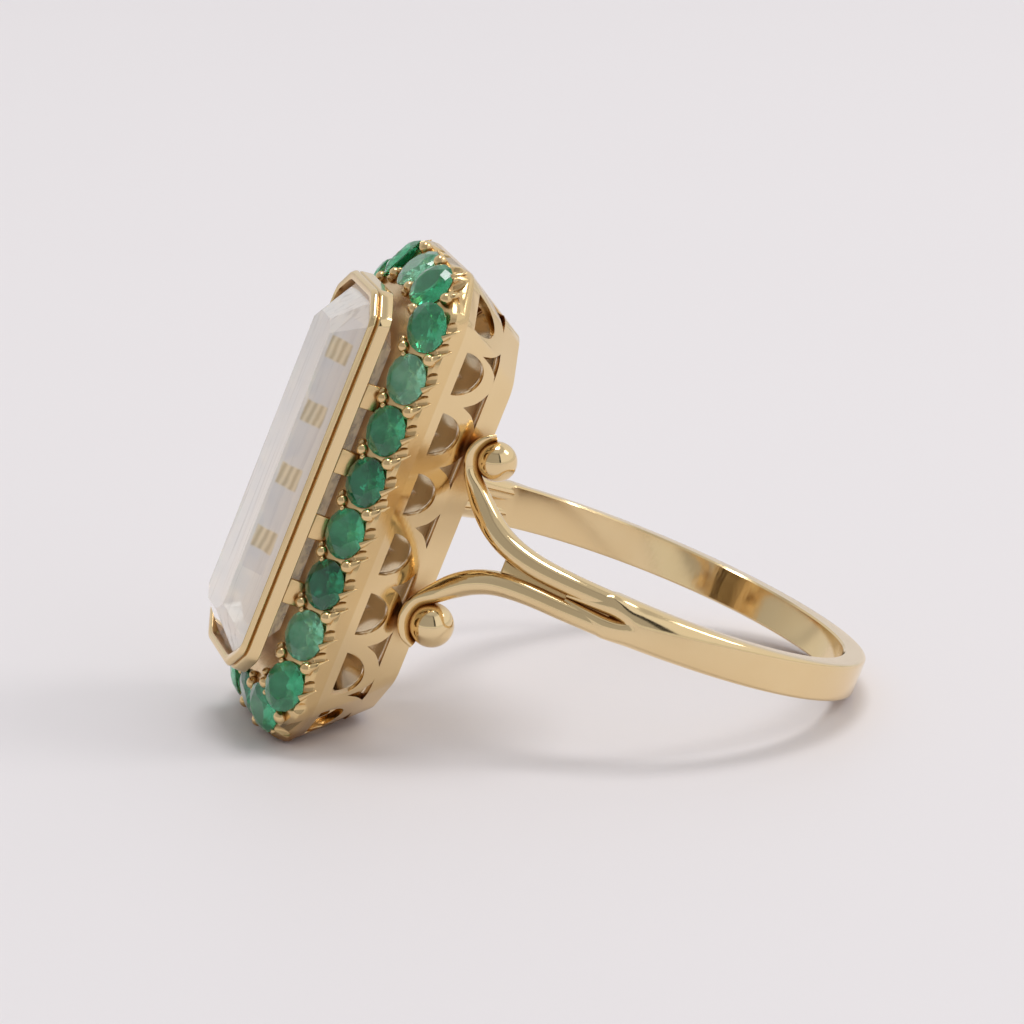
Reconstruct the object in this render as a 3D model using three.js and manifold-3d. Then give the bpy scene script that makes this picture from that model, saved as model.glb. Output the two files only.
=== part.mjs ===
// Cocktail ring: an octagonal crystal in a collet, a halo of 22 round emeralds,
// a pierced gallery on a base rail, and a band whose shoulders split into four scrolls.
// Millimetres, +Z up.  The ring lies on its side the way it rests on a table.
// Ring frame used while building: x along the head and the finger, y across, z out of the head.
import * as THREE from 'three';
import { mergeVertices } from 'three/addons/utils/BufferGeometryUtils.js';
import Module from 'manifold-3d';

const wasm = await Module();
wasm.setup();

const FINGER_R = 8.65;          // inside radius of the band (17.3 mm ring size)
const BAND_T = [0.95, 1.05];    // band thickness: back, shoulder
const BAND_H = [0.74, 0.92];    // half width of the band: back, shoulder
const BAND_BEVEL = [0.07, 0.32];  // outer edge bevel: back, shoulder
const SPLIT = 113.6;            // degrees from the back where the band splits in two

const STONE_R = 1.0;            // emerald girdle radius
const STONE_PITCH = 2.15;
const STONE_TILT = 32;          // halo slope, degrees
const STONE_LIFT = 0.09;        // girdle above the halo surface
const HALO_Z = 13.3;            // halo surface under the stones
const HALO = [9.0, 4.0, 7.75, 2.3];    // half length, half width, chamfer corners

const RAIL = [8.0, 2.75, 6.2, 1.2];
const RAIL_Z = [8.8, 9.82];
const WALL_Z = [9.84, 12.0];
const WALL_T = 0.45;
const WALL_FLARE = 0.58;        // outward run of the gallery per millimetre of height
const MOON = { pitch: 2.52, top: 11.6, half: 0.88, drop: 1.18 };
const SPANDREL = { half: 0.75, apex: 10.78 };

const BEZEL_TOP = 15.3;
const CRYSTAL = [7.52, 2.9, 6.75, 1.66];
const BALL = { x: 3.46, y: 3.74, z: 8.64, upper: 0.79, lower: 0.89 };
const SLACK = 0.02;

const gold = new THREE.MeshStandardMaterial({ color: 0xd9b978, metalness: 1, roughness: 0.18 });
const emerald = new THREE.MeshStandardMaterial({ color: 0x0f8a57, metalness: 0, roughness: 0.05 });
const crystal = new THREE.MeshStandardMaterial({ color: 0xf2f1f3, metalness: 0, roughness: 0.02 });

const rad = THREE.MathUtils.degToRad;
const mix = THREE.MathUtils.lerp;
const V = (x, y, z) => new THREE.Vector3(x, y, z);

function volume(geometry) {
  const p = geometry.attributes.position;
  const at = (i) => V().fromBufferAttribute(p, geometry.index.getX(i));
  let six = 0;
  for (let i = 0; i < geometry.index.count; i += 3) six += at(i).dot(at(i + 1).cross(at(i + 2)));
  return six / 6;
}

function welded(geometry) {
  geometry.deleteAttribute('normal');
  geometry.deleteAttribute('uv');
  return mergeVertices(geometry, 1e-4);
}

// A skin over a row of equal rings of points: capped at both ends, or joined end to start.
function skin(rings, joined) {
  const n = rings[0].length;
  const points = rings.flat();
  const index = [];
  const rows = joined ? rings.length : rings.length - 1;
  for (let r = 0; r < rows; r += 1) {
    const a = r * n;
    const b = ((r + 1) % rings.length) * n;
    for (let k = 0; k < n; k += 1) {
      const m = (k + 1) % n;
      index.push(a + k, a + m, b + m, a + k, b + m, b + k);
    }
  }
  if (!joined) {
    for (const end of [0, rings.length - 1]) {
      const centre = rings[end].reduce((s, p) => s.add(p), V(0, 0, 0)).divideScalar(n);
      points.push(centre);
      for (let k = 0; k < n; k += 1) {
        const m = (k + 1) % n;
        const fan = end === 0 ? [m, k] : [end * n + k, end * n + m];
        index.push(points.length - 1, ...fan);
      }
    }
  }
  const geometry = welded(new THREE.BufferGeometry().setFromPoints(points).setIndex(index));
  if (volume(geometry) < 0) geometry.index.array.reverse();
  return geometry;
}

function solid(geometry) {
  return new wasm.Manifold(new wasm.Mesh({
    numProp: 3,
    vertProperties: new Float32Array(geometry.attributes.position.array),
    triVerts: new Uint32Array(geometry.index.array),
  }));
}

function surface(body) {
  const mesh = body.getMesh();
  const geometry = new THREE.BufferGeometry();
  geometry.setAttribute('position', new THREE.BufferAttribute(new Float32Array(mesh.vertProperties), 3));
  geometry.setIndex(new THREE.BufferAttribute(new Uint32Array(mesh.triVerts), 1));
  return geometry;
}

const ring = new THREE.Group();
ring.name = 'ring';

function piece(name, geometry, material) {
  const mesh = new THREE.Mesh(geometry, material);
  mesh.name = name;
  ring.add(mesh);
}

// Long octagon, corners eased by r; vx and vy are where the chamfers start.
function octagon([a, b, vx, vy], z, r) {
  const quarter = [[a, vy], [vx, b]];
  const corners = [
    ...quarter,
    ...quarter.map(([x, y]) => [-x, y]).reverse(),
    ...quarter.map(([x, y]) => [-x, -y]),
    ...quarter.map(([x, y]) => [x, -y]).reverse(),
  ].map(([x, y]) => V(x, y, z));
  if (r === 0) return corners;
  return corners.flatMap((c, i) => {
    const before = corners[(i + 7) % 8].clone().sub(c).setLength(r).add(c);
    const after = corners[(i + 1) % 8].clone().sub(c).setLength(r).add(c);
    const middle = before.clone().add(after).multiplyScalar(0.25).addScaledVector(c, 0.5);
    return [before, middle, after];
  });
}

const grow = ([a, b, vx, vy], d) => [a + d, b + d, vx + 0.55 * d, vy + 0.42 * d];
const frame = (levels, r) => skin(levels.map(([shape, z]) => octagon(shape, z, r)), true);

// Band: a swept strip, deeper and rounder toward the shoulders.
{
  const rows = [];
  for (let k = -32; k <= 32; k += 1) {
    const angle = rad(SPLIT) * (k / 32);
    const s = Math.pow(Math.abs(k / 32), 2.2);
    const h = mix(BAND_H[0], BAND_H[1], s);
    const outer = FINGER_R + mix(BAND_T[0], BAND_T[1], s);
    const c = mix(BAND_BEVEL[0], BAND_BEVEL[1], s);
    const section = [
      [-h + 0.06, FINGER_R], [-h, FINGER_R + 0.06], [-h, outer - c], [-h + c, outer],
      [h - c, outer], [h, outer - c], [h, FINGER_R + 0.06], [h - 0.06, FINGER_R],
    ];
    rows.push(section.map(([x, rr]) => V(x, rr * Math.sin(angle), -rr * Math.cos(angle))));
  }
  piece('shank', skin(rows, false), gold);
}

// Scroll arms: from the split of the band out along the gallery, curling round a ball.
const ARM = [
  // x, y, z, half width, half depth
  [0.47, 8.4, 3.67, 0.44, 0.5],
  [0.49, 7.6, 5.13, 0.44, 0.5],
  [0.53, 6.6, 6.4, 0.46, 0.49],
  [0.73, 5.6, 7.36, 0.48, 0.47],
  [1.08, 4.9, 8.0, 0.49, 0.45],
  [1.58, 4.3, 8.52, 0.48, 0.42],
  [2.15, 3.87, 8.98, 0.4, 0.38],
  [2.78, 3.66, 9.42, 0.23, 0.36],
  [3.46, 3.66, 9.63, 0.16, 0.32],
  [4.01, 3.68, 9.41, 0.13, 0.27],
  [4.33, 3.7, 9.0, 0.08, 0.2],
];
const start = rad(SPLIT + 0.2);

function arm(side, lift, open) {
  // the curl opens with the ball it holds
  const armPath = new THREE.CatmullRomCurve3(ARM.map(([x, y, z], i) => {
    const k = i > 6 ? open : 0;
    return V(x + (i > 8 ? k : 0), y, z + k * (i < 10 ? 1 : 0.5));
  }), false, 'centripetal');
  const rows = [];
  const steps = 26;
  for (let k = 0; k <= steps; k += 1) {
    const t = k / steps;
    const p = armPath.getPoint(t);
    const along = armPath.getTangent(t);
    const i = Math.min(Math.floor(t * (ARM.length - 1)), ARM.length - 2);
    const f = t * (ARM.length - 1) - i;
    const w = mix(ARM[i][3], ARM[i + 1][3], f);
    const d = mix(ARM[i][4], ARM[i + 1][4], f);
    const out = V(0, p.y, p.z).normalize();
    if (k === 0) along.set(0, -Math.cos(Math.PI - start), Math.sin(Math.PI - start));
    out.addScaledVector(along, -out.dot(along)).normalize();
    const across = along.clone().cross(out).normalize();
    const row = [];
    for (let q = 0; q < 10; q += 1) {
      const a = rad(36 * q);
      const sx = Math.sign(Math.cos(a)) * Math.pow(Math.abs(Math.cos(a)), 0.7) * w;
      const sy = Math.sign(Math.sin(a)) * Math.pow(Math.abs(Math.sin(a)), 0.8) * d;
      row.push(p.clone().addScaledVector(across, sx).addScaledVector(out, sy));
    }
    rows.push(row.map((v) => V(v.x * lift, v.y * side, v.z)));
  }
  return skin(rows, false);
}

for (const [where, side] of [['near', -1], ['far', 1]]) {
  for (const [level, lift] of [['upper', 1], ['lower', -1]]) {
    const [ball, bed] = [0, SLACK].map((gap) => {
      const sphere = welded(new THREE.SphereGeometry(BALL[level] + gap, 14, 10));
      return sphere.translate(BALL.x * lift, BALL.y * side, BALL.z);
    });
    const curl = solid(arm(side, lift, BALL[level] - BALL.upper)).subtract(solid(bed));
    piece(`scroll_arm_${where}_${level}`, surface(curl), gold);
    piece(`scroll_ball_${where}_${level}`, ball, gold);
  }
  const web = [[-0.2, 5.6, 7.5], [0.2, 5.6, 7.5], [0, 6.15, 6.9]];
  const rows = [-0.22, 0.22].map((d) => web.map(([x, y, z]) => {
    const k = 1 + d / Math.hypot(y, z);
    return V(x * 0.9, y * k * side, z * k);
  }));
  piece(`crotch_web_${where}`, skin(rows, false), gold);
}

// Base rail and the pierced wall above it.
const taper = (z) => RAIL.map((v) => v + WALL_FLARE * (z - RAIL_Z[0]));
piece('base_rail', frame([
  [grow(RAIL, -0.75), RAIL_Z[0] + 0.1], [grow(RAIL, -0.68), RAIL_Z[0]], [grow(RAIL, -0.06), RAIL_Z[0]],
  [RAIL, RAIL_Z[0] + 0.08], [taper(RAIL_Z[1]), RAIL_Z[1]], [grow(taper(RAIL_Z[1]), -0.6), RAIL_Z[1]],
], 0.5), gold);

function cutter(outline, x, y, turn) {
  const shape = new THREE.Shape(outline.map(([u, z]) => new THREE.Vector2(u, z)));
  const bar = new THREE.ExtrudeGeometry(shape, { depth: 2.4, bevelEnabled: false, steps: 1 });
  bar.rotateX(Math.PI / 2);
  bar.translate(0, 1.2, 0);
  bar.rotateZ(turn);
  bar.translate(x, y, 0);
  return solid(welded(bar));
}

const facing = (nx, ny) => Math.atan2(-nx, ny);
const arch = (half) => {
  const outline = [];
  for (let k = 0; k <= 10; k += 1) {
    const a = Math.PI * (k / 10);
    outline.push([half * Math.cos(a), MOON.top - MOON.drop * Math.sin(a)]);
  }
  return outline.reverse();
};
const wedge = (half) => {
  const rise = (f) => mix(WALL_Z[0], SPANDREL.apex, f);
  return [
    [-half, rise(-0.2)], [half, rise(-0.2)], [half, rise(0.02)], [0.58 * half, rise(0.24)],
    [0.27 * half, rise(0.52)], [0, rise(1)], [-0.27 * half, rise(0.52)], [-0.58 * half, rise(0.24)],
    [-half, rise(0.02)],
  ];
};

let wall = solid(frame([
  [taper(WALL_Z[0]), WALL_Z[0]], [taper(WALL_Z[1]), WALL_Z[1]],
  [grow(taper(WALL_Z[1]), -WALL_T), WALL_Z[1]], [grow(taper(WALL_Z[0]), -WALL_T), WALL_Z[0]],
], 0.5));
const cuts = [];
for (const sy of [-1, 1]) {
  for (const k of [-2.5, -1.5, -0.5, 0.5, 1.5, 2.5]) {
    cuts.push(cutter(arch(MOON.half), k * MOON.pitch, 4.0 * sy, 0));
  }
  for (const k of [-2, -1, 0, 1, 2]) {
    cuts.push(cutter(wedge(SPANDREL.half), k * MOON.pitch, 3.6 * sy, 0));
  }
  for (const sx of [-1, 1]) {
    cuts.push(cutter(arch(0.8), 8.4 * sx, 3.27 * sy, facing(0.66 * sx, 0.75 * sy)));
    cuts.push(cutter(arch(MOON.half), 9.3 * sx, 1.24 * sy, facing(sx, 0)));
    cuts.push(cutter(wedge(0.5), 7.05 * sx, 3.55 * sy, facing(0.35 * sx, 0.94 * sy)));
    cuts.push(cutter(wedge(0.5), 8.8 * sx, 2.05 * sy, facing(0.92 * sx, 0.39 * sy)));
  }
}
for (const sx of [-1, 1]) cuts.push(cutter(wedge(0.66), 8.8 * sx, 0, facing(sx, 0)));
for (const tool of cuts) wall = wall.subtract(tool);
piece('gallery_wall', surface(wall), gold);

// Emerald seats along the octagon: position and the way each stone leans out.
const seats = [];
for (const sy of [-1, 1]) {
  for (let k = 3.5; k >= -3.5; k -= 1) seats.push({ x: k * STONE_PITCH, y: HALO[1] * sy, out: [0, sy] });
}
for (const sx of [1, -1]) {
  for (const sy of [-1, 1]) seats.push({ x: 8.88 * sx, y: 2.47 * sy, out: [0.806 * sx, 0.592 * sy] });
  seats.push({ x: HALO[0] * sx, y: 0, out: [sx, 0] });
}

function settle(geometry, seat, lift) {
  const tilt = rad(STONE_TILT);
  const up = V(seat.out[0] * Math.sin(tilt), seat.out[1] * Math.sin(tilt), Math.cos(tilt));
  geometry.applyQuaternion(new THREE.Quaternion().setFromUnitVectors(V(0, 0, 1), up));
  geometry.translate(seat.x + up.x * lift, seat.y + up.y * lift, HALO_Z + up.z * lift);
  return geometry;
}

function turned(profile, segments) {
  const geometry = new THREE.LatheGeometry(profile.map(([r, z]) => new THREE.Vector2(r, z)), segments);
  geometry.rotateX(Math.PI / 2);
  const body = welded(geometry);
  if (volume(body) < 0) body.index.array.reverse();
  return body;
}

const HALO_FOOT = WALL_Z[1] + SLACK;
const RIM = 0.95;
const RIM_Z = HALO_Z - 1.05;
// Halo: sloped frame with a conical seat under every stone and a bead at every gap.
let halo = solid(frame([
  [grow(HALO, 0.88), HALO_Z - 0.55], [grow(HALO, RIM), HALO_Z - 0.7],
  [[HALO[0] + RIM, 4.75, 8.2, 3.1], RIM_Z], [taper(HALO_FOOT), HALO_FOOT],
  [grow(taper(HALO_FOOT), -0.5), HALO_FOOT], [grow(HALO, -0.35), HALO_Z - 0.62],
  [grow(HALO, -1.15), HALO_Z - 0.1], [grow(HALO, -1.15), HALO_Z + 0.5], [grow(HALO, -0.8), HALO_Z + 0.5],
], 0.45));
for (const seat of seats) {
  const hole = turned([[0, -0.5], [0.3, -0.5], [0.9, 0], [0.9, 0.4], [0, 0.4]], 15);
  halo = halo.subtract(solid(settle(hole, seat, 0)));
}
const beads = [];
for (const sy of [-1, 1]) {
  for (let k = -3; k <= 3; k += 1) beads.push([k * STONE_PITCH, HALO[1] * sy, 0, sy]);
}
for (const sx of [-1, 1]) {
  for (const sy of [-1, 1]) {
    beads.push([9.0 * sx, 1.25 * sy, sx, 0]);
    beads.push([8.27 * sx, 3.3 * sy, 0.68 * sx, 0.73 * sy]);
  }
}
for (const [x, y, ox, oy] of beads) {
  for (const [d, z, r] of [[0.82, HALO_Z - 0.36, 0.2], [-0.6, HALO_Z + 0.52, 0.17]]) {
    const bead = welded(new THREE.SphereGeometry(r, 7, 5));
    bead.translate(x + ox * d, y + oy * d, z);
    halo = halo.add(solid(bead));
  }
}
piece('halo_setting', surface(halo), gold);

seats.forEach((seat, i) => {
  const stone = turned([[0, -0.48], [STONE_R, -0.02], [STONE_R, 0.02], [0.56, 0.26], [0, 0.26]], 8);
  piece(`emerald_${String(i + 1).padStart(2, '0')}`, settle(stone, seat, STONE_LIFT), emerald);
});

// Collet: a sloping band raised on posts above the halo, its rim turned over the crystal.
const BAND_FOOT = HALO_Z + 1.15;
piece('crystal_bezel', frame([
  [[8.02, 3.18, 7.12, 1.96], BAND_FOOT], [[7.95, 3.16, 7.02, 1.9], BEZEL_TOP - 0.14],
  [[7.82, 3.1, 6.92, 1.82], BEZEL_TOP], [[7.54, 2.92, 6.72, 1.67], BEZEL_TOP - 0.05],
  [[7.58, 2.96, 6.78, 1.7], BEZEL_TOP - 0.22], [[7.58, 2.96, 6.78, 1.7], BAND_FOOT],
], 0.22), gold);

// Crystal: long octagon with a high crown and a flat back.
piece('centre_crystal', skin([
  octagon([6.2, 1.6, 5.75, 0.85], 13.5, 0), octagon(CRYSTAL, 14.8, 0),
  octagon(CRYSTAL, 15.0, 0), octagon([6.1, 1.45, 5.7, 0.8], 16.15, 0),
], false), crystal);

for (const [where, side] of [['near', -1], ['far', 1]]) {
  [-4.1, -1.37, 1.37, 4.1].forEach((x, i) => {
    const post = welded(new THREE.BoxGeometry(1.0, 0.28, 0.61));
    post.translate(x, 3.01 * side, BAND_FOOT - 0.325);
    piece(`collet_post_${where}_${i + 1}`, post, gold);
  });
}

// Lay the ring down: it rests on the lower rim of the halo and the back of the band.
const reach = HALO[0] + RIM - BAND_H[0];
const length = RIM_Z + FINGER_R + BAND_T[0];
ring.rotation.y = -Math.atan2(length, reach);
ring.updateMatrixWorld(true);
const box = new THREE.Box3().setFromObject(ring, true);
ring.position.set(-(box.min.x + box.max.x) / 2, -(box.min.y + box.max.y) / 2, -box.min.z);

const group = new THREE.Group();
group.name = 'cocktail_ring';
group.add(ring);
export default group;
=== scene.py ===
"""A gold cocktail ring on its side: octagonal crystal, emerald halo, pierced gallery, scroll band.

Every piece is shaped in the ring's own frame, in millimetres: x along the head and the finger hole,
y across, z out of the head from the finger's centre.  laid() then puts it where the ring lies.
"""
import math

import bmesh
import bpy
from mathutils import Matrix, Quaternion, Vector


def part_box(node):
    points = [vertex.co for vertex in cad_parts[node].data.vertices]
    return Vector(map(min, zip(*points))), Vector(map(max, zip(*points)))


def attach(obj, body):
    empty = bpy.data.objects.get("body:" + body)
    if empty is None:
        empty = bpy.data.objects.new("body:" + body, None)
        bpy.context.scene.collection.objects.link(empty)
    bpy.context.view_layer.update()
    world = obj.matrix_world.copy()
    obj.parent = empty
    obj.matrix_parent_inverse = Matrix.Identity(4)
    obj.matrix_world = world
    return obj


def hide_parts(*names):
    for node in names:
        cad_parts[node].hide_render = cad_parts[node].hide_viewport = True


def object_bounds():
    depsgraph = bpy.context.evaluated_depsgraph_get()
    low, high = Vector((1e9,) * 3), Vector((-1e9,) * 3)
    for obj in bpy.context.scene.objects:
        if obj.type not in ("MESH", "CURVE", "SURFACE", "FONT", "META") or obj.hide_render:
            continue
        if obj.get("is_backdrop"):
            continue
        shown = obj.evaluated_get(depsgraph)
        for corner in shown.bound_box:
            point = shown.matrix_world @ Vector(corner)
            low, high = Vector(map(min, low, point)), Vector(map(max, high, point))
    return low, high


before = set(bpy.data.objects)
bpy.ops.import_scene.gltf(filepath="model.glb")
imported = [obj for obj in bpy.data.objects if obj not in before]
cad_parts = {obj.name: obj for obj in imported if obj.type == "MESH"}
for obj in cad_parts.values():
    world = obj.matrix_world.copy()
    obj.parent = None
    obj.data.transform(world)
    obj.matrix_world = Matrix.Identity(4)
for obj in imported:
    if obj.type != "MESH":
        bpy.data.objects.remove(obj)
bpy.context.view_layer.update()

# Sizes in millimetres.  An octagon is (half length, half width, half a long side, half an end).
FINGER = 8.65                            # inside radius of the band
BAND_BACK, BAND_SHOULDER = 0.95, 1.05    # its thickness
HALF_BACK, HALF_SHOULDER = 0.74, 0.92    # half its width
SPLIT = 113.6                            # degrees from its back to where it splits in two
PITCH, STONE = 2.15, 1.0                 # emeralds: spacing along the sides, and radius
TILT, LIFT = 32.0, 0.09                  # their outward lean in degrees, and height in their seats
HALO_Z, HALO = 13.3, (9.0, 4.0, 7.75, 2.3)  # the line of their middles
RIM = 0.95                               # how far the halo's rim stands out past that line
RIM_Z = HALO_Z - 1.05                    # lower edge of the rim
HALO_FOOT = 12.02
RAIL, RAIL_Z = (8.0, 2.75, 6.2, 1.2), (8.8, 9.82)  # the rail at its foot, and its heights
FLARE = 0.58                             # how fast the rail and the gallery wall spread with height
WALL_Z, WALL_T = (9.84, 12.0), 0.45      # heights and thickness of the gallery wall
MOON_PITCH, MOON_HALF = 2.52, 0.88       # half-moon openings: spacing and half width
MOON_TOP, MOON_DROP = 11.6, 1.18         # their straight side, and how far the round side hangs
BEZEL_TOP, COLLET_FOOT = 15.3, HALO_Z + 1.15
POSTS = (-4.1, -1.37, 1.37, 4.1)         # where the collet's posts stand along each side
POST_SIZE = (1.0, 0.30, 0.74)
BALL_X, BALL_Y, BALL_Z = 3.46, 3.74, 8.64
BALL_R = {"upper": 0.79, "lower": 0.89}
SPINE = 5.0                              # half the head's long middle line

# How far the head leans back: the table touches the halo's rim and the edge of the band's back.
LEAN = math.atan2(RIM_Z + FINGER + BAND_BACK, HALO[0] + RIM - HALF_BACK)

# The ring's own frame, found from where one scroll ball lies.
low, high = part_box("scroll_ball_near_upper")
turn = Matrix.Rotation(-LEAN, 4, "Y")
centre = (low + high) / 2 - turn @ (Vector((BALL_X, -BALL_Y, BALL_Z)) * 0.001)
LAID = Matrix.Translation(centre) @ turn @ Matrix.Scale(0.001, 4)


def blend(a, b, t):
    return a + (b - a) * t


def smooth(t):
    t = min(max(t, 0.0), 1.0)
    return t * t * (3 - 2 * t)


# ---------------------------------------------------------------- materials

class Value:
    """A shader value: arithmetic on it adds Math nodes."""

    def __init__(self, tree, socket):
        self.tree, self.socket = tree, socket

    def math(self, operation, other=None, first=None):
        node = self.tree.nodes.new("ShaderNodeMath")
        node.operation = operation
        for slot, value in enumerate((self if first is None else first, other)):
            if isinstance(value, Value):
                self.tree.links.new(value.socket, node.inputs[slot])
            elif value is not None:
                node.inputs[slot].default_value = value
        return Value(self.tree, node.outputs[0])

    def __add__(self, other):
        return self.math("ADD", other)

    def __sub__(self, other):
        return self.math("SUBTRACT", other)

    def __mul__(self, other):
        return self.math("MULTIPLY", other)

    def __rsub__(self, other):
        return self.math("SUBTRACT", self, first=other)

    __radd__ = __add__
    __rmul__ = __mul__


class Nodes:
    """A node tree, and one method that adds any node to it."""

    def __init__(self, tree):
        self.tree = tree

    def node(self, kind, settings=None, inputs=None, output=0):
        """Adds a node with its settings and inputs, and gives one of its outputs."""
        node = self.tree.nodes.new(kind)
        for key, value in (settings or {}).items():
            if key == "stops":
                ramp = node.color_ramp.elements
                for spot, (position, colour) in enumerate(value):
                    stop = ramp[spot] if spot < len(ramp) else ramp.new(position)
                    stop.position, stop.color = position, colour
            else:
                setattr(node, key, value)
        for key, value in (inputs or {}).items():
            if isinstance(value, Value):
                self.tree.links.new(value.socket, node.inputs[key])
            else:
                node.inputs[key].default_value = value
        return Value(self.tree, node.outputs[output])

    def tint(self, factor, dark, light):
        """One colour turning to another as the factor goes from 0 to 1."""
        return self.node("ShaderNodeMix", {"data_type": "RGBA"}, {0: factor, 6: dark, 7: light}, 2)


class Finish(Nodes):
    """A material with one Principled shader fed by patterns on the object's own coordinates."""

    def __init__(self, name, **constants):
        self.material = bpy.data.materials.new(name)
        self.material.use_nodes = True
        super().__init__(self.material.node_tree)
        self.shader = self.tree.nodes["Principled BSDF"]
        for socket, value in constants.items():
            named = socket.replace("_", " ").title().replace("Ior", "IOR")
            self.shader.inputs[named].default_value = value
        self.place = self.node("ShaderNodeTexCoord", output="Object")

    def noise(self, scale, detail=2.0, roughness=0.5, stretch=None, distortion=0.0):
        place = self.place
        if stretch:
            place = self.node("ShaderNodeMapping", inputs={"Vector": place, "Scale": stretch[0],
                                                            "Rotation": stretch[1]})
        return self.node("ShaderNodeTexNoise", inputs={
            "Vector": place, "Scale": scale, "Detail": detail, "Roughness": roughness,
            "Distortion": distortion})

    def ring_place(self):
        """The place in the ring's own frame, in millimetres."""
        back = LAID.inverted()
        own = self.node("ShaderNodeMapping", inputs={
            "Vector": self.place, "Location": back.translation, "Rotation": back.to_euler(),
            "Scale": back.to_scale()})
        parts = self.node("ShaderNodeSeparateXYZ", inputs={0: own}).socket.node
        return [Value(self.tree, parts.outputs[i]) for i in range(3)]

    def ramp(self, value, low, high):
        """0 below the low value, 1 above the high one, and soft between."""
        return self.node("ShaderNodeMapRange", {"interpolation_type": "SMOOTHSTEP"},
                         {0: value, 1: low, 2: high})

    def between(self, value, low, high, soft=0.05):
        """1 where the value is from low to high, with soft ends."""
        return (self.ramp(value, low - soft, low + soft)
                * (1 - self.ramp(value, high - soft, high + soft)))

    def bump(self, height, strength, distance):
        return self.node("ShaderNodeBump", inputs={"Height": height, "Strength": strength,
                                                    "Distance": distance})

    def feed(self, socket, value):
        self.tree.links.new(value.socket, self.shader.inputs[socket])


CREVICE = 0.0009  # metres within which nearby metal brings painted shade into the colour and dulls the polish
# the brown of the painted shade in corners and holes
CREVICE_PAINTED_SHADE = (0.42, 0.22, 0.075, 1)


def gold(name, light, deep, rough, wobble, **constants):
    """Gold with a faint cloud of colour, painted shade in its corners and holes, hairline scratches
    and a cast surface.
    """
    finish = Finish(name, metallic=1.0, **constants)
    cloud = finish.noise(350.0, 3.0)
    # painted shade: corners and holes that nearby metal closes in on turn brown and a little
    # duller; open faces keep the plain colour and polish
    openness = finish.node("ShaderNodeAmbientOcclusion", {"samples": 6}, {"Distance": CREVICE}, 1)
    unshaded_and_polished = finish.ramp(openness, 0.25, 0.80)
    finish.feed("Base Color", finish.tint(unshaded_and_polished, CREVICE_PAINTED_SHADE, finish.tint(cloud, deep, light)))
    wear = finish.noise(900.0, 4.0, 0.6)
    scratch = finish.noise(1500.0, 2.0, 0.6, stretch=((1.0, 9.0, 1.0), (0.3, 0.2, 0.9)))
    finish.feed("Roughness", wear * 0.07 + scratch * 0.05 + (1 - unshaded_and_polished) * 0.22 + rough)
    cast = finish.noise(420.0, 1.0, 0.4)
    height = cast * wobble + scratch * 0.03 + wear * 0.02
    finish.feed("Normal", finish.bump(height, 1.0, 0.00006))
    return finish.material


def emerald(name, deep, pale):
    """Green stone with a cloudy garden of inclusions and a slightly worn surface."""
    finish = Finish(name, ior=1.58, transmission_weight=0.8, coat_weight=0.3)
    garden = finish.noise(900.0, 5.0, 0.65, distortion=1.2)
    cloud = finish.noise(260.0, 2.0)
    paleness = finish.ramp(garden * 0.6 + cloud * 0.4, 0.34, 0.66)
    finish.feed("Base Color", finish.tint(paleness, deep, pale))
    finish.feed("Roughness", garden * 0.06 + 0.015)
    worn = finish.noise(700.0, 1.0)
    finish.feed("Normal", finish.bump(worn, 0.25, 0.00004))
    return finish.material


GOLD = gold("pale_yellow_gold", (0.86, 0.68, 0.40, 1), (0.80, 0.59, 0.31, 1), 0.05, 0.10)
CAST = gold("cast_gold", (0.84, 0.64, 0.35, 1), (0.74, 0.51, 0.23, 1), 0.12, 0.25)
# the inward faces: paler, rougher gold, lit by a painted glow from its emission
INNER_GLOWING = gold("unpolished_gold_painted_glow", (0.93, 0.78, 0.55, 1), (0.87, 0.68, 0.43, 1), 0.45, 0.3,
             emission_color=(0.80, 0.62, 0.40, 1), emission_strength=0.24)
GREENS = {
    "pale": emerald("emerald_pale", (0.10, 0.66, 0.34, 1), (0.50, 0.98, 0.70, 1)),
    "mid": emerald("emerald_mid", (0.015, 0.46, 0.19, 1), (0.16, 0.84, 0.46, 1)),
    "deep": emerald("emerald_deep", (0.003, 0.24, 0.10, 1), (0.05, 0.60, 0.30, 1)),
}

# The painted images of the posts in each long facet: where their row starts, spacing and number,
# and the part of the facet that they fill.
IMAGE_START, IMAGE_PITCH, IMAGES = -3.93, 2.65, 4.0
IMAGE_Y, IMAGE_Z = (1.55, 2.36), (15.0, 16.1)


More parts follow.
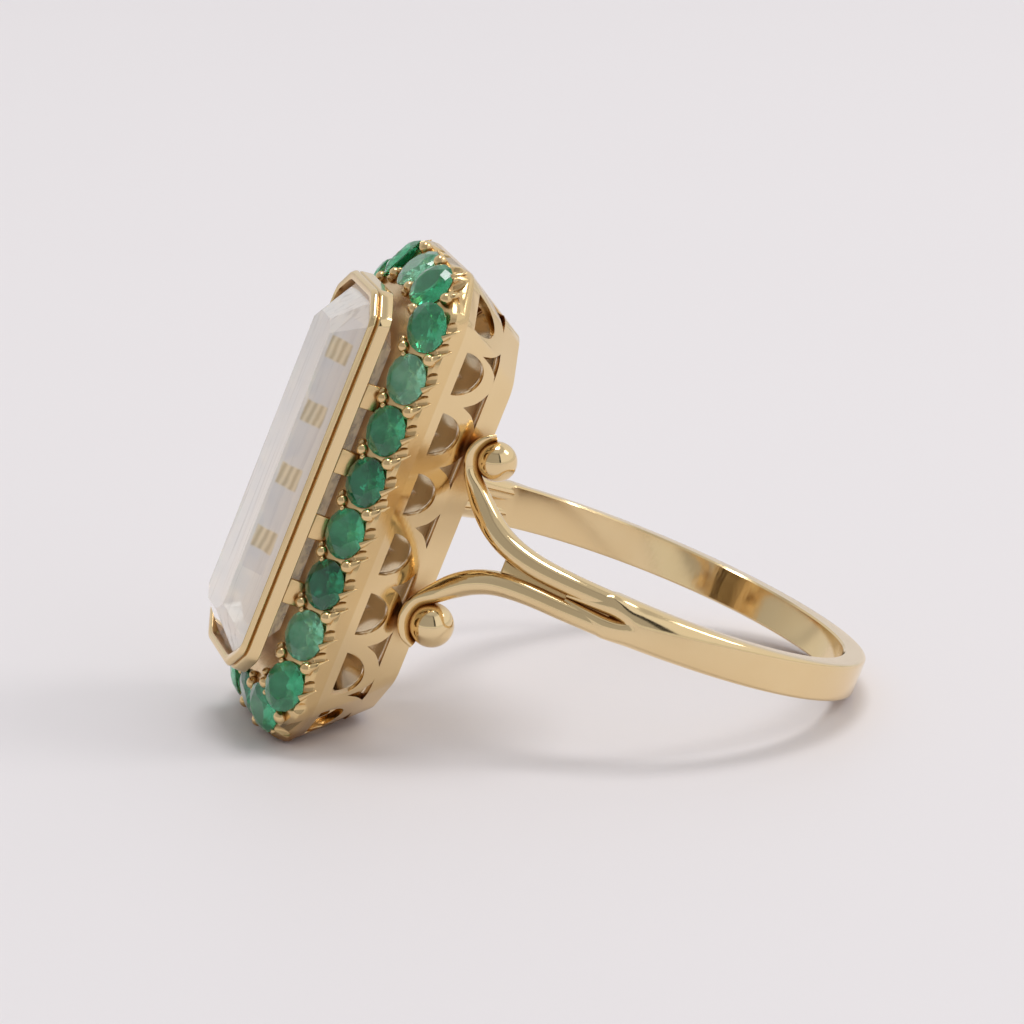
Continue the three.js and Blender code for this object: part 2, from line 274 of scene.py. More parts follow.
def clear_crystal():
    """Slightly veiled rock crystal with a faint painted glow; the posts behind it and the gold
    around its back are painted into its facets.
    """
    # a faint painted glow: the emission lightens the whole stone
    finish = Finish("rock_crystal", ior=1.38, transmission_weight=0.38, coat_weight=0.8,
                    emission_color=(1.0, 0.94, 0.88, 1), emission_strength=0.11)
    veil = finish.noise(160.0, 4.0, 0.55)
    ripple = finish.noise(1400.0, 2.0)
    x, y, z = finish.ring_place()
    body = finish.tint(finish.ramp(x + veil * 3, 7.0, -4.0),
                       (0.84, 0.81, 0.78, 1), (0.98, 0.955, 0.93, 1))
    # faint grey streaks along the stone
    grain = finish.node("ShaderNodeCombineXYZ", inputs={0: x * 0.07, 1: y * 1.3, 2: z})
    streak = finish.node("ShaderNodeTexNoise", inputs={
        "Vector": grain, "Scale": 2.6, "Detail": 3.0, "Roughness": 0.6, "Distortion": 0.4})
    body = finish.tint(finish.ramp(streak, 0.50, 0.72) * 0.75, body, (0.56, 0.52, 0.50, 1))
    # painted reflection: the back facets carry a painted image of the gold that surrounds them
    back = finish.tint(finish.ramp(ripple, 0.42, 0.60),
                       (0.28, 0.18, 0.04, 1), (0.78, 0.60, 0.24, 1))
    body = finish.tint(finish.ramp(z, 14.82, 14.72), body, back)
    # painted images of the posts behind the stone and of the grey windows between them
    y += ripple * 0.12
    x += ripple * 0.16
    step = (x - IMAGE_START) * (1 / IMAGE_PITCH)
    off = (step.math("FRACT") - 0.5).math("ABSOLUTE") * IMAGE_PITCH
    facet = finish.between(y.math("ABSOLUTE"), *IMAGE_Y) * finish.between(z, *IMAGE_Z)
    row = finish.between(step, 0.0, IMAGES, 0.01)
    post = (1 - finish.ramp(off, 0.38, 0.50)) * facet * row * 0.9
    painted_window_image = facet * row * (1 - post) * 0.55
    body = finish.tint(painted_window_image, body, (0.70, 0.69, 0.73, 1))
    # painted stripes across the painted posts
    ridge = (y * 24 + x * 2).math("SINE") * 0.5 + 0.5
    painted_post_colour = finish.tint(ridge, (0.50, 0.36, 0.15, 1), (0.86, 0.70, 0.42, 1))
    finish.feed("Base Color", finish.tint(post, body, painted_post_colour))
    finish.feed("Roughness", finish.noise(600.0, 3.0) * 0.02)
    return finish.material


CRYSTAL = clear_crystal()


# ---------------------------------------------------------------- shaping

def ring_of(mesh, points):
    """Vertices at the points and the edges that close them in a loop."""
    verts = [mesh.verts.new(p) for p in points]
    return [mesh.edges.new((a, verts[(i + 1) % len(verts)])) for i, a in enumerate(verts)]


def bridged(sections, joined=False):
    """A skin bridged from section to section, capped unless it joins its own start."""
    mesh = bmesh.new()
    loops = [ring_of(mesh, points) for points in sections]
    pairs = list(zip(loops, loops[1:])) + ([(loops[-1], loops[0])] if joined else [])
    for a, b in pairs:
        bmesh.ops.bridge_loops(mesh, edges=a + b)
    if not joined:
        for loop in (loops[0], loops[-1]):
            bmesh.ops.contextual_create(mesh, geom=loop)
    bmesh.ops.recalc_face_normals(mesh, faces=mesh.faces)
    return mesh


def octagon(shape, z):
    """Corners of a long octagon; a corner is where a side meets its chamfer."""
    a, b, vx, vy = shape
    quarter = [(a, vy), (vx, b)]
    plan = quarter + [(-x, y) for x, y in reversed(quarter)]
    plan += [(-x, -y) for x, y in plan]
    return [Vector((x, y, z)) for x, y in plan]


def grow(shape, d):
    """The octagon with its sides moved out by d."""
    a, b, vx, vy = shape
    return (a + d, b + d, vx + 0.55 * d, vy + 0.42 * d)


def taper(z):
    """The octagon of the sloping wall at a height."""
    return tuple(v + FLARE * (z - RAIL_Z[0]) for v in RAIL)


def collar(levels, corner, rim, steps=3):
    """A closed octagonal frame through levels of (shape, z), corners and rims eased."""
    mesh = bridged([octagon(shape, z) for shape, z in levels], joined=True)
    mesh.verts.index_update()
    climb = [e for e in mesh.edges if abs(e.verts[0].index - e.verts[1].index) % 8 == 0]
    bmesh.ops.bevel(mesh, geom=climb, offset=corner, offset_type="OFFSET", segments=5,
                    profile=0.5, affect="EDGES", clamp_overlap=True, material=-1)
    ease(mesh, rim, 25, steps)
    return mesh


def ease(mesh, width, angle=30, segments=2):
    """Rounds every edge that turns more sharply than the angle."""
    sharp = [e for e in mesh.edges if e.is_manifold and e.calc_face_angle(0) > math.radians(angle)]
    bmesh.ops.bevel(mesh, geom=sharp, offset=width, offset_type="OFFSET", segments=segments,
                    profile=0.5, affect="EDGES", clamp_overlap=True, material=-1)
    return mesh


def added(mesh, other):
    """The other mesh's shells join this one."""
    spare = bpy.data.meshes.new("spare")
    other.to_mesh(spare)
    other.free()
    mesh.from_mesh(spare)
    bpy.data.meshes.remove(spare)
    return mesh


def carved(mesh, tools):
    """The mesh with the tools cut away."""
    pair = []
    for shell in (mesh, tools):
        data = bpy.data.meshes.new("carving")
        shell.to_mesh(data)
        shell.free()
        pair.append(bpy.data.objects.new("carving", data))
        bpy.context.scene.collection.objects.link(pair[-1])
    cut = pair[0].modifiers.new("cut", "BOOLEAN")
    cut.operation, cut.object, cut.solver = "DIFFERENCE", pair[1], "EXACT"
    cut.use_self = True
    graph = bpy.context.evaluated_depsgraph_get()
    result = bpy.data.meshes.new_from_object(pair[0].evaluated_get(graph))
    made = bmesh.new()
    made.from_mesh(result)
    bpy.data.meshes.remove(result)
    for leftover in pair:
        data = leftover.data
        bpy.data.objects.remove(leftover)
        bpy.data.meshes.remove(data)
    bmesh.ops.remove_doubles(made, verts=made.verts, dist=1e-4)
    bmesh.ops.dissolve_degenerate(made, edges=made.edges, dist=1e-4)
    return made


def faces_in(face):
    """True where a face of the head looks back to the head's long middle line."""
    middle = face.calc_center_median()
    from_line = Vector((middle.x - min(max(middle.x, -SPINE), SPINE), middle.y, 0)).normalized()
    return face.normal.dot(from_line) < -0.4


def laid(mesh, name, material, nodes, crease=35, flat=False, inside=None):
    """The finished piece, smooth but for its creases, laid down with the ring."""
    if inside:
        for face in mesh.faces:
            face.material_index = int(faces_in(face))
    bmesh.ops.transform(mesh, matrix=LAID, verts=mesh.verts)
    for face in mesh.faces:
        face.smooth = True
    for edge in mesh.edges:
        edge.smooth = not edge.is_manifold or edge.calc_face_angle(0) < math.radians(crease)
    data = bpy.data.meshes.new(name)
    mesh.to_mesh(data)
    mesh.free()
    data.materials.append(material)
    if inside:
        data.materials.append(inside)
    piece = bpy.data.objects.new(name, data)
    bpy.context.scene.collection.objects.link(piece)
    if flat:
        even = piece.modifiers.new("even", "WEIGHTED_NORMAL")
        even.keep_sharp, even.weight = True, 60
    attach(piece, "root")
    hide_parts(*nodes)


# ---------------------------------------------------------------- band

def band_section(angle, dome_steps=14):
    """The band's section: flat with eased edges at the back, a dome at the shoulders."""
    turned = abs(angle) / SPLIT
    s = turned ** 2.2
    half = blend(HALF_BACK, HALF_SHOULDER, s)
    outer = FINGER + blend(BAND_BACK, BAND_SHOULDER, s)
    power = blend(9.0, 2.3, smooth(turned * 1.15 - 0.15))
    drop = blend(0.16, 0.72, smooth(turned * 1.1 - 0.1))
    groove = smooth((turned - 0.94) / 0.06)
    row = []
    for k in range(-dome_steps, dome_steps + 1):
        h = math.sin(math.radians(90 * k / dome_steps))
        dome = drop * (1 - (1 - abs(h) ** power) ** (1 / power))
        lobe = 0.42 * (1 - math.sqrt(max(0.0, 1 - abs(2 * abs(h) - 1) ** 2.4)))
        row.append((h * half, outer - blend(dome, max(dome * 0.25, lobe), groove)))
    row += [(half - 0.015, FINGER + 0.07), (half - 0.09, FINGER + 0.008), (half * 0.5, FINGER),
            (-half * 0.5, FINGER), (0.09 - half, FINGER + 0.008), (0.015 - half, FINGER + 0.07)]
    a = math.radians(angle)
    return [Vector((x, r * math.sin(a), -r * math.cos(a))) for x, r in row]


def tongue(end, past, size):
    """The band's section past its end, drawn in toward its middle, to die out between the arms."""
    row = band_section(end)
    turned = Matrix.Rotation(math.radians(end / SPLIT * past), 3, "X")
    middle = sum(row, Vector()) / len(row)
    return [turned @ (middle + (p - middle) * size) for p in row]


TONGUE = [  # degrees past the end, size
    (0.8, 0.985), (2.0, 0.93), (4.0, 0.82), (6.5, 0.66), (9.0, 0.45), (11.0, 0.25),
]
band = bridged([tongue(-SPLIT, *step) for step in reversed(TONGUE)]
               + [band_section(SPLIT * k / 90) for k in range(-90, 91)]
               + [tongue(SPLIT, *step) for step in TONGUE])
laid(band, "band", GOLD, ["shank"])

# ---------------------------------------------------------------- scroll arms and balls

WEB_Z = 6.6  # height at which the floor between the arms meets the web
WEB_SIZE, WEB_PLACE, WEB_TURN = (0.5, 1.1, 0.45), (0, 6.0, 6.93), -47.0
ARM = [  # x, y, z, half width, half depth
    (0.47, 8.4, 3.67, 0.44, 0.50), (0.49, 7.6, 5.13, 0.44, 0.50), (0.53, 6.6, 6.4, 0.46, 0.49),
    (0.73, 5.6, 7.36, 0.48, 0.47), (1.08, 4.9, 8.0, 0.49, 0.45), (1.58, 4.3, 8.52, 0.48, 0.42),
    (2.15, 3.87, 8.98, 0.40, 0.38), (2.78, 3.66, 9.42, 0.23, 0.36), (3.46, 3.66, 9.63, 0.16, 0.32),
    (4.01, 3.68, 9.41, 0.13, 0.27), (4.33, 3.70, 9.0, 0.08, 0.20),
]


def along(points, t):
    """A point on the smooth path through the points, t from 0 to 1."""
    span = t * (len(points) - 1)
    i = min(int(span), len(points) - 2)
    p = [points[min(max(i + k, 0), len(points) - 1)] for k in (-1, 0, 1, 2)]
    f = span - i
    return 0.5 * ((2 * p[1]) + (p[2] - p[0]) * f + (2 * p[0] - 5 * p[1] + 4 * p[2] - p[3]) * f * f
                  + (3 * p[1] - p[0] - 3 * p[2] + p[3]) * f ** 3)


def scroll_arm(side, lift, open_by, around=28, steps=72):
    """One arm, from the split to the end of its curl, which opens a little for a larger ball."""
    path = []  # only the last points, those of the curl, move with the ball
    for i, (x, y, z, _, _) in enumerate(ARM):
        k = open_by if i > 6 else 0.0
        path.append(Vector((x + (k if i > 8 else 0.0), y, z + k * (1 if i < 10 else 0.5))))
    sizes = [Vector((w, d, 0)) for _, _, _, w, d in ARM]
    sections = []
    for k in range(steps + 1):
        t = k / steps
        here = along(path, t)
        ahead = (along(path, min(t + 0.004, 1)) - along(path, max(t - 0.004, 0))).normalized()
        if k == 0:
            a = math.radians(SPLIT)
            ahead = Vector((0, math.cos(a), math.sin(a)))
        out = Vector((0, here.y, here.z)).normalized()
        out = (out - ahead * out.dot(ahead)).normalized()
        across = ahead.cross(out).normalized()
        w, d, _ = along(sizes, t)
        row = []
        for q in range(around):
            a = 2 * math.pi * q / around
            sx = math.copysign(abs(math.cos(a)) ** 0.86, math.cos(a)) * w
            sy = math.copysign(abs(math.sin(a)) ** 0.9, math.sin(a)) * d
            row.append(here + across * sx + out * sy)
        sections.append([Vector((p.x * lift, p.y * side, p.z)) for p in row])
    return bridged(sections)


def fork_floor(side, steps=14):
    """The thin floor of metal between the two arms, from the split up to the web."""
    path = [Vector((x, y, z)) for x, y, z, _, _ in ARM]
    sizes = [Vector((w, d, 0)) for _, _, _, w, d in ARM]
    reach = next(i for i, p in enumerate(path) if p.z > WEB_Z) / (len(path) - 1)
    sections = []
    for k in range(steps + 1):
        here, depth = along(path, reach * k / steps), along(sizes, reach * k / steps).y
        out = Vector((0, here.y, here.z)).normalized() * depth
        middle = Vector((0, here.y, here.z))
        half = Vector((here.x, 0, 0))
        row = [middle + half + out * 0.35, middle - half + out * 0.35,
               middle - half - out * 0.5, middle + half - out * 0.5]
        sections.append([Vector((p.x, p.y * side, p.z)) for p in row])
    return bridged(sections)


for where, side in (("near", -1), ("far", 1)):
    for level, lift in (("upper", 1), ("lower", -1)):
        radius = BALL_R[level]
        arm = scroll_arm(side, lift, radius - BALL_R["upper"])
        laid(arm, f"scroll_{where}_{level}", GOLD, [f"scroll_arm_{where}_{level}"])
        ball = bmesh.new()
        bmesh.ops.create_uvsphere(ball, u_segments=48, v_segments=32, radius=radius)
        bmesh.ops.translate(ball, verts=ball.verts, vec=(BALL_X * lift, BALL_Y * side, BALL_Z))
        laid(ball, f"ball_{where}_{level}", GOLD, [f"scroll_ball_{where}_{level}"])
    web = bmesh.new()
    bmesh.ops.create_cube(web, size=1.0)
    bmesh.ops.scale(web, vec=WEB_SIZE, verts=web.verts)
    for v in web.verts:
        v.co.x *= 1.0 if v.co.y < 0 else 0.15
    bmesh.ops.rotate(web, verts=web.verts, cent=(0, 0, 0),
                     matrix=Matrix.Rotation(math.radians(WEB_TURN), 3, "X"))
    bmesh.ops.translate(web, verts=web.verts, vec=WEB_PLACE)
    if side < 0:
        bmesh.ops.scale(web, vec=(1, -1, 1), verts=web.verts)
        bmesh.ops.recalc_face_normals(web, faces=web.faces)
    ease(web, 0.06, 30, 3)
    added(web, fork_floor(side))
    laid(web, f"fork_web_{where}", CAST, [f"crotch_web_{where}"])

# ---------------------------------------------------------------- rail and gallery wall

rail = collar([
    (grow(RAIL, -0.75), RAIL_Z[0] + 0.05), (grow(RAIL, 0.0), RAIL_Z[0] + 0.02),
    (taper(RAIL_Z[1] + 0.03), RAIL_Z[1] + 0.03), (grow(taper(RAIL_Z[1]), -0.6), RAIL_Z[1] + 0.03),
], corner=0.35, rim=0.09)
laid(rail, "base_rail_polished", GOLD, ["base_rail"], flat=True, inside=INNER_GLOWING)


def punch(outline, x, y, nx, ny, depth=1.2):
    """A bar with the outline (across, z), pointing out of the wall along (nx, ny)."""
    bar = bmesh.new()
    loop = ring_of(bar, [Vector((u, -depth, z)) for u, z in outline])
    face = bmesh.ops.contextual_create(bar, geom=loop)["faces"]
    pushed = bmesh.ops.extrude_face_region(bar, geom=face)["geom"]
    bmesh.ops.translate(bar, verts=[g for g in pushed if isinstance(g, bmesh.types.BMVert)],
                        vec=(0, 2 * depth, 0))
    bmesh.ops.rotate(bar, verts=bar.verts, cent=(0, 0, 0),
                     matrix=Matrix.Rotation(math.atan2(-nx, ny), 3, "Z"))
    bmesh.ops.translate(bar, verts=bar.verts, vec=(x, y, 0))
    bmesh.ops.recalc_face_normals(bar, faces=bar.faces)
    return bar


def half_moon(half, steps=22):
    """An opening with its straight side up and its round side toward the rail."""
    turns = [math.pi * k / steps for k in range(steps + 1)]
    return [(half * math.cos(a), MOON_TOP - MOON_DROP * math.sin(a)) for a in turns]


def spandrel(half, low=WALL_Z[0] + 0.02, high=10.78):
    """The small hollow-sided triangle between two half-moons, on the rail."""
    side = [(1.0, 0.0), (0.80, 0.10), (0.58, 0.24), (0.40, 0.38), (0.27, 0.52), (0.12, 0.78)]
    right = [(half * x, blend(low, high, f)) for x, f in side]
    left = [(-x, z) for x, z in reversed(right)]
    return right + [(0.0, high)] + left


punches = bmesh.new()
for sy in (-1, 1):
    for k in (-2.5, -1.5, -0.5, 0.5, 1.5, 2.5):
        added(punches, punch(half_moon(MOON_HALF), k * MOON_PITCH, 4.0 * sy, 0, sy))
    for k in (-2, -1, 0, 1, 2):
        added(punches, punch(spandrel(0.75), k * MOON_PITCH, 3.6 * sy, 0, sy))
    for sx in (-1, 1):
        added(punches, punch(half_moon(0.8), 8.4 * sx, 3.27 * sy, 0.66 * sx, 0.75 * sy))
        added(punches, punch(half_moon(MOON_HALF), 9.3 * sx, 1.24 * sy, sx, 0))
        added(punches, punch(spandrel(0.5), 7.05 * sx, 3.55 * sy, 0.35 * sx, 0.94 * sy))
        added(punches, punch(spandrel(0.5), 8.8 * sx, 2.05 * sy, 0.92 * sx, 0.39 * sy))
for sx in (-1, 1):
    added(punches, punch(spandrel(0.66), 8.8 * sx, 0, sx, 0))

wall = collar([
    (taper(WALL_Z[0] - 0.02), WALL_Z[0] - 0.02), (taper(WALL_Z[1]), WALL_Z[1] + 0.03),
    (grow(taper(WALL_Z[1]), -WALL_T), WALL_Z[1] + 0.03),
    (grow(taper(WALL_Z[0]), -WALL_T), WALL_Z[0] - 0.02),
], corner=0.5, rim=0.012, steps=1)
wall = carved(wall, punches)
ease(wall, 0.045, 40, 2)
laid(wall, "pierced_gallery", GOLD, ["gallery_wall"], crease=50, flat=True, inside=INNER_GLOWING)

# ---------------------------------------------------------------- halo and emeralds

SEAT = [(0, -0.62), (0.25, -0.6), (0.97, 0.02), (1.03, 0.12), (1.03, 0.9), (0, 0.9)]  # radius, z
seats = []  # x, y and the way out of the halo there
for sy in (-1, 1):
    seats += [(PITCH * (3.5 - k), HALO[1] * sy, 0.0, float(sy)) for k in range(8)]
for sx in (1, -1):
    seats += [(8.88 * sx, 2.47 * sy, 0.806 * sx, 0.592 * sy) for sy in (-1, 1)]
    seats.append((HALO[0] * sx, 0.0, float(sx), 0.0))


def seated(mesh, seat, lift=0.0, spin=0.0):
    """Leans a shape made about +z the way the stone in this seat leans."""
    x, y, ox, oy = seat
    lean = math.radians(TILT)
    up = Vector((ox * math.sin(lean), oy * math.sin(lean), math.cos(lean)))
    aim = Vector((0, 0, 1)).rotation_difference(up) @ Quaternion((0, 0, 1), spin)
    matrix = Matrix.Translation(Vector((x, y, HALO_Z)) + up * lift) @ aim.to_matrix().to_4x4()
    bmesh.ops.transform(mesh, matrix=matrix, verts=mesh.verts)
    return mesh


def lathe(profile, steps):
    """A solid turned about +z from a profile of (radius, z) that starts and ends on the axis."""
    mesh = bmesh.new()
    verts = [mesh.verts.new((r, 0, z)) for r, z in profile]
    edges = [mesh.edges.new(pair) for pair in zip(verts, verts[1:])]
    bmesh.ops.spin(mesh, geom=verts + edges, axis=(0, 0, 1), cent=(0, 0, 0), angle=2 * math.pi,
                   steps=steps, use_merge=True)
    bmesh.ops.remove_doubles(mesh, verts=mesh.verts, dist=1e-4)
    bmesh.ops.recalc_face_normals(mesh, faces=mesh.faces)
    return mesh


def bead(place, radius, stretch=None, aim=None):
    """A small round grain of metal, pulled out along an aim for a claw."""
    mesh = bmesh.new()
    bmesh.ops.create_uvsphere(mesh, u_segments=14, v_segments=10, radius=radius)
    if stretch:
        bmesh.ops.scale(mesh, vec=stretch, verts=mesh.verts)
        matrix = Vector((0, 0, 1)).rotation_difference(Vector(aim)).to_matrix()
        bmesh.ops.rotate(mesh, verts=mesh.verts, cent=(0, 0, 0), matrix=matrix)
    bmesh.ops.translate(mesh, verts=mesh.verts, vec=place)
    return mesh


def spur(base, tip, radius):
    """A pointed ridge of metal left between two graver cuts."""
    aim = tip - base
    mesh = bmesh.new()
    bmesh.ops.create_cone(mesh, segments=8, radius1=radius, radius2=radius * 0.12, depth=aim.length,
                          cap_ends=True)
    bmesh.ops.translate(mesh, verts=mesh.verts, vec=(0, 0, aim.length / 2))
    bmesh.ops.rotate(mesh, verts=mesh.verts, cent=(0, 0, 0),
                     matrix=Vector((0, 0, 1)).rotation_difference(aim).to_matrix())
    bmesh.ops.translate(mesh, verts=mesh.verts, vec=base)
    return ease(mesh, radius * 0.2, 40, 1)


halo = collar([
    (grow(HALO, 0.86), HALO_Z - 0.5), (grow(HALO, RIM), HALO_Z - 0.68),
    ((HALO[0] + RIM, 4.75, 8.2, 3.1), RIM_Z), (taper(HALO_FOOT), HALO_FOOT),
    (grow(taper(HALO_FOOT), -0.5), HALO_FOOT), (grow(HALO, -0.35), HALO_Z - 0.75),
    (grow(HALO, -1.05), HALO_Z - 0.3), (grow(HALO, -1.05), HALO_Z + 0.42),
    (grow(HALO, -0.62), HALO_Z + 0.42),
], corner=0.45, rim=0.03, steps=2)
cuts = bmesh.new()
for seat in seats:
    added(cuts, seated(lathe(SEAT, 30), seat))
for x, y, ox, oy in seats:
    out, side = Vector((ox, oy, 0)), Vector((-oy, ox, 0))
    for step in (-0.47, 0.47):
        notch = Vector((x, y, HALO_Z - 0.62)) + side * step + out * 1.02
        added(cuts, bead(notch, 0.27, (1.0, 1.0, 1.7), (out * 0.55 + Vector((0.55, 0, -0.6)))))
halo = carved(halo, cuts)
ease(halo, 0.02, 45, 1)

gaps = []  # between the stones, in the same way as the seats
for sy in (-1, 1):
    gaps += [(PITCH * k, HALO[1] * sy, 0.0, float(sy)) for k in range(-3, 4)]
for sx in (-1, 1):
    for sy in (-1, 1):
        gaps.append((9.0 * sx, 1.25 * sy, float(sx), 0.0))
        gaps.append((8.27 * sx, 3.3 * sy, 0.68 * sx, 0.73 * sy))
for x, y, ox, oy in gaps:
    here, out = Vector((x, y, HALO_Z)), Vector((ox, oy, 0))
    outer = here + out * 0.74 + Vector((0, 0, -0.30))
    added(halo, bead(outer, 0.27))
    beside = abs(oy)  # 1 on the long sides, where the spurs sweep toward the upper end
    tip = outer + out * (0.04 + 0.08 * beside) + Vector((0.62 * beside, 0, -0.45 - 0.22 * beside))
    added(halo, spur(outer + out * 0.08, tip, 0.19))
    inner = here - out * 0.60 + Vector((0, 0, 0.47))
    added(halo, bead(inner, 0.25))
    added(halo, bead(inner - out * 0.27 + Vector((0.2 * beside, 0.2 * abs(ox), 0.02)), 0.18))
    added(halo, bead(inner + out * 0.2 - Vector((0.24 * beside, 0.24 * abs(ox), 0.06)), 0.12))
for x, y, ox, oy in seats:
    here, out = Vector((x, y, HALO_Z)), Vector((ox, oy, 0))
    beside = abs(oy)
    base = here + out * 0.86 + Vector((-0.1 * beside, 0, -0.42))
    added(halo, spur(base, base + out * 0.14 * beside + Vector((0.55 * beside, 0, -0.52)), 0.14))
laid(halo, "halo_claws", CAST, ["halo_setting"], crease=50, flat=True)


def brilliant(radius, table, crown, pavilion):
    """A round brilliant: the hull of the corners of its table, crown, girdle and pavilion."""
    mesh = bmesh.new()

    def corners(count, r, z, shift=0.0):
        for k in range(count):
            a = 2 * math.pi * (k + shift) / count
            mesh.verts.new((r * math.cos(a), r * math.sin(a), z))

    corners(8, table, crown)
    corners(8, (table + radius) * 0.52, crown * 0.62, 0.5)
    corners(16, radius, 0.02)
    corners(16, radius, -0.02)
    corners(8, radius * 0.35, -pavilion * 0.72, 0.5)
    mesh.verts.new((0, 0, -pavilion))
    bmesh.ops.convex_hull(mesh, input=mesh.verts)
    bmesh.ops.dissolve_limit(mesh, angle_limit=math.radians(2), verts=mesh.verts, edges=mesh.edges)
    bmesh.ops.recalc_face_normals(mesh, faces=mesh.faces)
    return mesh


SHADES = ("mid pale mid deep mid deep pale mid "   # near side, from the upper end
          "mid deep pale mid deep pale mid mid "   # far side
          "mid mid pale mid pale deep")            # upper end, lower end
for i, (seat, shade) in enumerate(zip(seats, SHADES.split())):
    number = f"{i + 1:02d}"
    stone = brilliant(STONE, table=0.57, crown=0.27, pavilion=0.47)
    seated(stone, seat, LIFT, spin=0.7 * i)
    laid(stone, f"emerald_stone_{number}", GREENS[shade], [f"emerald_{number}"],
         crease=1)

# ---------------------------------------------------------------- collet, crystal and posts

# outer wall with a groove under the rim, the rim turned over the crystal, and the inner wall
collet = collar([
    ((8.02, 3.18, 7.12, 1.96), COLLET_FOOT), ((7.98, 3.17, 7.05, 1.92), BEZEL_TOP - 0.36),
    ((7.84, 3.03, 6.98, 1.86), BEZEL_TOP - 0.30), ((7.96, 3.165, 7.03, 1.91), BEZEL_TOP - 0.23),
    ((7.94, 3.155, 7.01, 1.89), BEZEL_TOP - 0.12),
    ((7.84, 3.10, 6.92, 1.82), BEZEL_TOP), ((7.56, 2.94, 6.74, 1.68), BEZEL_TOP - 0.04),
    ((7.60, 2.98, 6.79, 1.71), BEZEL_TOP - 0.24), ((7.60, 2.98, 6.79, 1.71), COLLET_FOOT),
], corner=0.25, rim=0.035, steps=2)
laid(collet, "crystal_collet", GOLD, ["crystal_bezel"], crease=50, flat=True)

GIRDLE = (7.52, 2.9, 6.75, 1.66)
stone = bridged([
    octagon((6.2, 1.6, 5.75, 0.85), 13.5), octagon(GIRDLE, 14.8),
    octagon(GIRDLE, 14.97), octagon((6.15, 1.48, 5.72, 0.8), 16.15),
])
ease(stone, 0.012, 8, 1)
laid(stone, "octagon_crystal", CRYSTAL, ["centre_crystal"], crease=1)

for where, side in (("near", -1), ("far", 1)):
    for i, x in enumerate(POSTS):
        post = bmesh.new()
        bmesh.ops.create_cube(post, size=1.0)
        bmesh.ops.scale(post, vec=POST_SIZE, verts=post.verts)
        bmesh.ops.translate(post, verts=post.verts, vec=(x, 3.01 * side, COLLET_FOOT - 0.36))
        ease(post, 0.06, 30, 3)
        laid(post, f"post_{where}_{i + 1}", CAST, [f"collet_post_{where}_{i + 1}"])

# ---------------------------------------------------------------- table, light and camera

floor_finish = Finish("table_paper", roughness=0.6)
grain = floor_finish.noise(25.0, 3.0)
paper = floor_finish.tint(grain, (0.815, 0.775, 0.785, 1), (0.83, 0.79, 0.80, 1))
floor_finish.feed("Base Color", paper)
table = bmesh.new()
bmesh.ops.create_grid(table, x_segments=4, y_segments=4, size=4.0)
table_data = bpy.data.meshes.new("table")
table.to_mesh(table_data)
table.free()
table_data.materials.append(floor_finish.material)
table_top = bpy.data.objects.new("table", table_data)
bpy.context.scene.collection.objects.link(table_top)
table_top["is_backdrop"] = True

# A white tent, bright on the right and behind, grey on the left and in front, with one black strip
# where the two meet.
TENT = 0.94  # strength of the whole tent
sky = bpy.data.worlds.new("studio")
bpy.context.scene.world = sky
sky.use_nodes = True
tent = Nodes(sky.node_tree)
way = tent.node("ShaderNodeTexCoord", output="Generated")
parts = tent.node("ShaderNodeSeparateXYZ", inputs={0: way}).socket.node
east, north, up = (Value(tent.tree, parts.outputs[i]) for i in range(3))
bearing = east.math("ARCTAN2", 0 - north)  # 0 toward the front, a quarter turn toward the right


def grey(level):
    """A faintly blue grey of the tent."""
    level *= TENT
    return (level * 0.985, level * 0.985, level, 1)


def at_bearing(degrees):
    """The ramp's position for a bearing."""
    return (degrees + 180) / 360


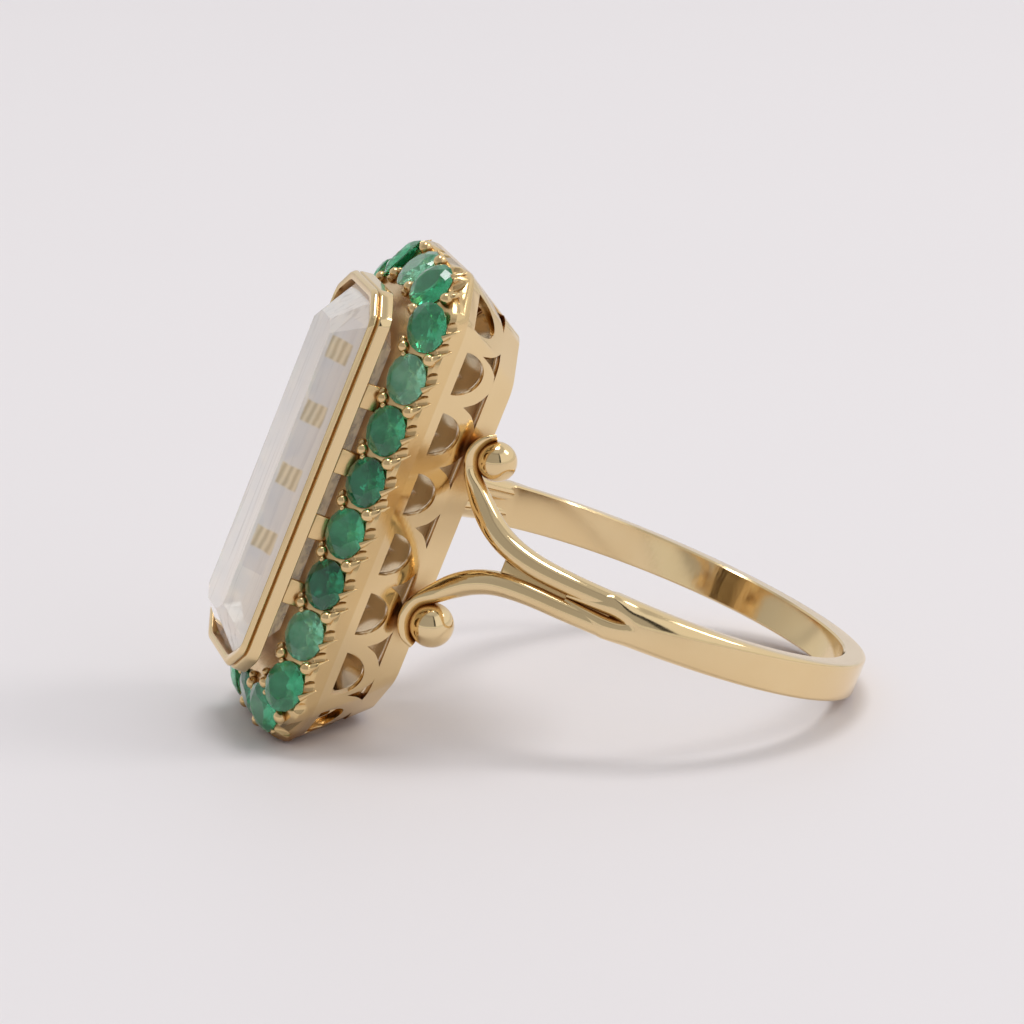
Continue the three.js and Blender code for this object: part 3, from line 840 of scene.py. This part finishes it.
around = tent.node("ShaderNodeValToRGB", {"stops": [
    (at_bearing(-180), grey(0.80)), (at_bearing(-120), grey(0.66)), (at_bearing(-80), grey(0.46)),
    (at_bearing(0), grey(0.48)), (at_bearing(2), grey(0.03)), (at_bearing(9), grey(0.03)),
    (at_bearing(11), grey(0.95)), (at_bearing(110), grey(0.92)), (at_bearing(180), grey(0.80)),
]}, {0: bearing * (1 / (2 * math.pi)) + 0.5})
aloft = tent.node("ShaderNodeValToRGB", {"stops": [  # the horizon and the roof
    (0.0, grey(0.80)), (0.10, grey(0.80)), (0.16, grey(0.0)), (0.80, grey(0.0)), (0.92, grey(0.62)),
    (1.0, grey(0.62)),
]}, {0: up})
WHITE, BLACK = (1, 1, 1, 1), (0, 0, 0, 1)
mask = tent.node("ShaderNodeValToRGB", {"stops": [  # where those two take over from the sides
    (0.0, WHITE), (0.10, WHITE), (0.16, BLACK), (0.80, BLACK), (0.92, WHITE), (1.0, WHITE),
]}, {0: up})
colour = tent.tint(mask, around, aloft)
tent.tree.links.new(colour.socket, sky.node_tree.nodes["Background"].inputs["Color"])


def softbox(name, toward, distance, width, height, power):
    """A lamp with a square face, hung in a direction from the ring and turned to it."""
    lamp = bpy.data.lights.new(name, "AREA")
    lamp.shape, lamp.size, lamp.size_y, lamp.energy = "RECTANGLE", width, height, power
    holder = bpy.data.objects.new(name, lamp)
    toward = Vector(toward).normalized()
    holder.location = toward * distance
    holder.rotation_mode = "QUATERNION"
    holder.rotation_quaternion = toward.to_track_quat("Z", "Y")
    holder.visible_camera = False
    bpy.context.scene.collection.objects.link(holder)


softbox("overhead", (0.05, 0.15, 1.0), distance=0.6, width=0.20, height=0.20, power=1.0)
softbox("right_high", (0.66, -0.14, 0.70), distance=0.6, width=0.14, height=0.20, power=0.5)

lens = bpy.data.cameras.new("camera")
lens.sensor_width, lens.lens = 36.0, 175.37
lens.clip_start, lens.clip_end = 0.01, 10.0
camera = bpy.data.objects.new("camera", lens)
bpy.context.scene.collection.objects.link(camera)
bpy.context.scene.camera = camera
camera.location = Vector((-46.327, -184.831, 61.196)) * 0.001
yaw, pitch, roll = math.radians(13.764), math.radians(-15.667), math.radians(-0.486)
camera.rotation_mode = "QUATERNION"
camera.rotation_quaternion = (Quaternion((0, 0, 1), -yaw)
                              @ Quaternion((1, 0, 0), math.pi / 2 + pitch)
                              @ Quaternion((0, 0, 1), roll))
bpy.context.scene.view_settings.view_transform = "Standard"

low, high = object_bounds()
